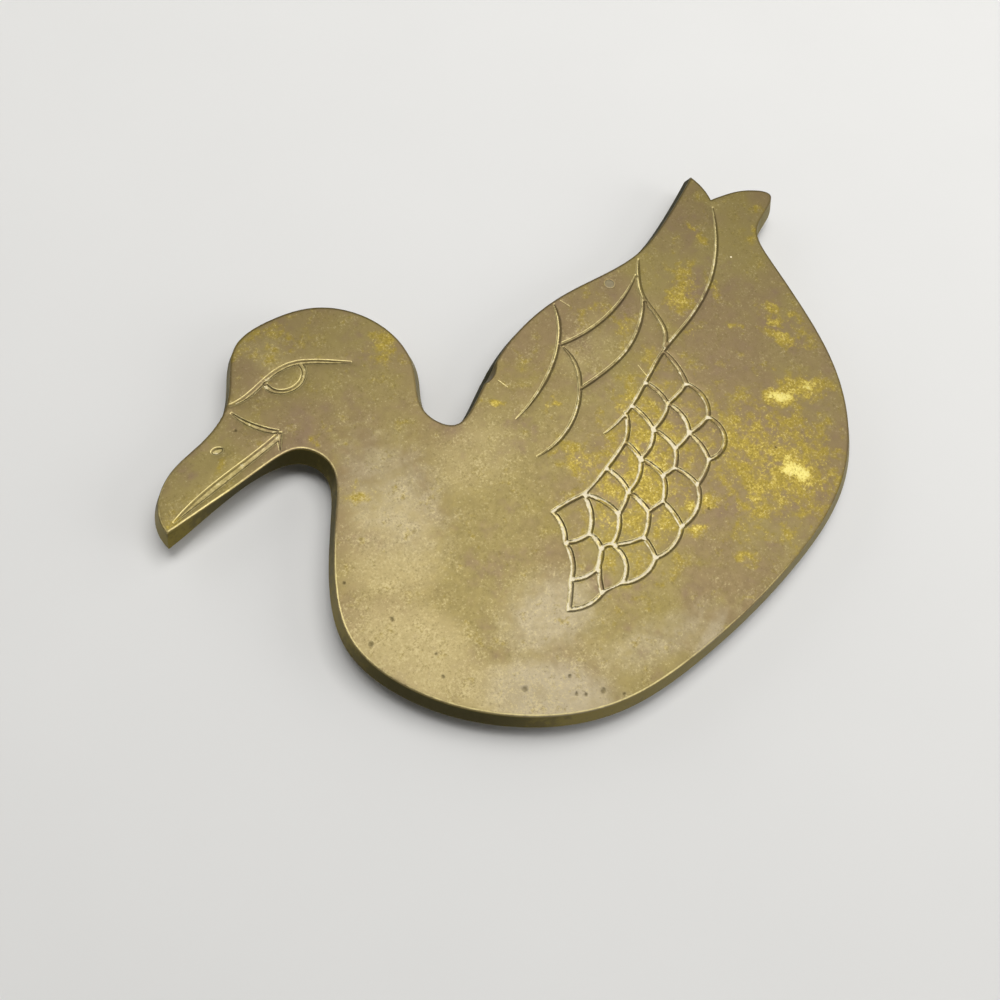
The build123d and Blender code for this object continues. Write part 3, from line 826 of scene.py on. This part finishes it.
def turned_brass():
    """Brass bar turned on a lathe and dulled since: fine rings of tool marks catch the light on a foot."""
    material, tree = new_material("turned_brass")
    place = add_node(tree, "ShaderNodeTexCoord").outputs["Object"]
    tarnish = add_node(tree, "ShaderNodeTexNoise", {
        "Vector": place, "Scale": 1 / (FOOT_TARNISH_SIZE * MM), "Detail": 4.0,
    })
    stretched = add_node(tree, "ShaderNodeMapping", {
        "Vector": place, "Scale": (0.0, 0.0, 1 / (TOOL_RING_SIZE * MM)),
    })
    rings = add_node(tree, "ShaderNodeTexNoise", {"Vector": stretched.outputs["Vector"], "Scale": 1.0})
    share = add_node(tree, "ShaderNodeMapRange", {
        "Value": tarnish.outputs["Fac"], "From Min": 0.35, "From Max": 0.65,
    }, interpolation_type="SMOOTHSTEP")
    colour = add_node(tree, "ShaderNodeMix", {
        "Factor": share.outputs["Result"], 6: linear("#b39c5f"), 7: linear("#8d7844"),
    }, data_type="RGBA")
    dullness = add_node(tree, "ShaderNodeMapRange", {
        "Value": tarnish.outputs["Fac"], "To Min": 0.28, "To Max": 0.5,
    })
    bump = add_node(tree, "ShaderNodeBump", {
        "Height": rings.outputs["Fac"], "Strength": 0.3, "Distance": TOOL_RING_HEIGHT * MM,
    })
    shader = add_node(tree, "ShaderNodeBsdfPrincipled", {
        "Base Color": colour.outputs[2], "Metallic": 1.0, "Roughness": dullness.outputs["Result"],
        "Normal": bump.outputs["Normal"],
    })
    add_node(tree, "ShaderNodeOutputMaterial", {"Surface": shader.outputs["BSDF"]})
    return material


def pale_table_paint():
    """Matt pale paint: an even off-white that only shows soft shadows."""
    material, tree = new_material("pale_table_paint")
    place = add_node(tree, "ShaderNodeTexCoord").outputs["Object"]
    cloud = add_node(tree, "ShaderNodeTexNoise", {
        "Vector": place, "Scale": 1 / (TABLE_CLOUD_SIZE * MM), "Detail": 3.0,
    })
    colour = add_node(tree, "ShaderNodeMix", {
        "Factor": cloud.outputs["Fac"], 6: linear("#e2e1de"), 7: linear("#e6e5e2"),
    }, data_type="RGBA")
    shader = add_node(tree, "ShaderNodeBsdfPrincipled", {"Base Color": colour.outputs[2], "Roughness": 0.7})
    add_node(tree, "ShaderNodeOutputMaterial", {"Surface": shader.outputs["BSDF"]})
    return material


# The duck
plate = cast_plate()
plate.data.materials.append(patinated_cast_brass())
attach(plate, "root")
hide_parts("duck_plate")

foot_brass = turned_brass()
for foot, place in zip(FEET, foot_places):
    turned = turned_foot(foot, place)
    turned.data.materials.append(foot_brass)
    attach(turned, "root")
    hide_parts(foot)

# Table, light and camera
TABLE_RADIUS = 900.0
TABLE_SEGMENTS = 180
TABLE_DROP = 0.02
table_edge = TABLE_RADIUS * np.exp(2j * math.pi * np.arange(TABLE_SEGMENTS) / TABLE_SEGMENTS)
table_top = np.column_stack([table_edge.real, table_edge.imag, np.full(TABLE_SEGMENTS, -TABLE_DROP)])
table = mesh_object("table", table_top, [tuple(range(TABLE_SEGMENTS))])
table.data.materials.append(pale_table_paint())

# The room is dark overhead, where only the softboxes shine, and its pale walls stand round about
CEILING_BRIGHTNESS = 0.05
ROOM_WALL_BRIGHTNESS = 0.36
ROOM_WALL_TOP = math.sin(math.radians(12))
CEILING_START = math.sin(math.radians(38))
# Softboxes: where each hangs, what it faces, its sides in metres and its brightness
SOFTBOXES = {
    "overhead_softbox": ((0.3, 0.3, 1.2), (0.3, 0.3, 0.0), (1.2, 0.6), 5.2),
    "tail_overhead_softbox": ((0.6, -0.3, 1.2), (0.6, -0.3, 0.0), (0.6, 0.6), 3.0),
    "belly_side_softbox": ((0.77, -0.77, 0.5), (0.0, 0.0, 0.0), (0.6, 0.6), 2.8),
    "tail_side_softbox": ((1.09, 0.0, 0.5), (0.0, 0.0, 0.0), (0.6, 0.6), 0.95),
    "back_side_softbox": ((-0.42, 1.0, 0.5), (0.0, 0.0, 0.0), (1.2, 0.6), 1.0),
}
world = bpy.data.worlds.new("soft_room")
world.use_nodes = True
world.node_tree.nodes.clear()
look = add_node(world.node_tree, "ShaderNodeTexCoord").outputs["Generated"]
rise = add_node(world.node_tree, "ShaderNodeSeparateXYZ", {"Vector": look}).outputs["Z"]
brightness = add_node(world.node_tree, "ShaderNodeMapRange", {
    "Value": rise, "From Min": ROOM_WALL_TOP, "From Max": CEILING_START,
    "To Min": ROOM_WALL_BRIGHTNESS, "To Max": CEILING_BRIGHTNESS,
}, interpolation_type="SMOOTHSTEP").outputs["Result"]
room = add_node(world.node_tree, "ShaderNodeBackground", {"Color": linear("#fbfbfa"), "Strength": brightness})
add_node(world.node_tree, "ShaderNodeOutputWorld", {"Surface": room.outputs["Background"]})
bpy.context.scene.world = world
bpy.context.scene.view_settings.view_transform = "Standard"
for name, (hung, faced, (long_side, short_side), brightness) in SOFTBOXES.items():
    softbox = bpy.data.lights.new(name, "AREA")
    softbox.shape = "RECTANGLE"
    softbox.size = long_side
    softbox.size_y = short_side
    softbox.energy = brightness * math.pi * long_side * short_side
    lamp = bpy.data.objects.new(name, softbox)
    lamp.location = hung
    lamp.rotation_euler = (Vector(faced) - Vector(hung)).to_track_quat("-Z", "Y").to_euler()
    bpy.context.scene.collection.objects.link(lamp)

CAMERA_PLACE = (-0.11225, -0.08132, 0.250)
CAMERA_RIGHT = Vector((0.8138, -0.5698, 0.1142))
CAMERA_FORWARD = Vector((0.3203, 0.2758, -0.9063))
CAMERA_LENS = 37.44
CAMERA_SENSOR = 36.0
camera_data = bpy.data.cameras.new("camera")
camera_data.lens = CAMERA_LENS
camera_data.sensor_width = CAMERA_SENSOR
camera = bpy.data.objects.new("camera", camera_data)
camera_up = CAMERA_RIGHT.cross(CAMERA_FORWARD)
turn = Matrix((CAMERA_RIGHT, camera_up, -CAMERA_FORWARD)).transposed()
camera.matrix_world = Matrix.Translation(CAMERA_PLACE) @ turn.to_4x4()
bpy.context.scene.collection.objects.link(camera)
bpy.context.scene.camera = camera
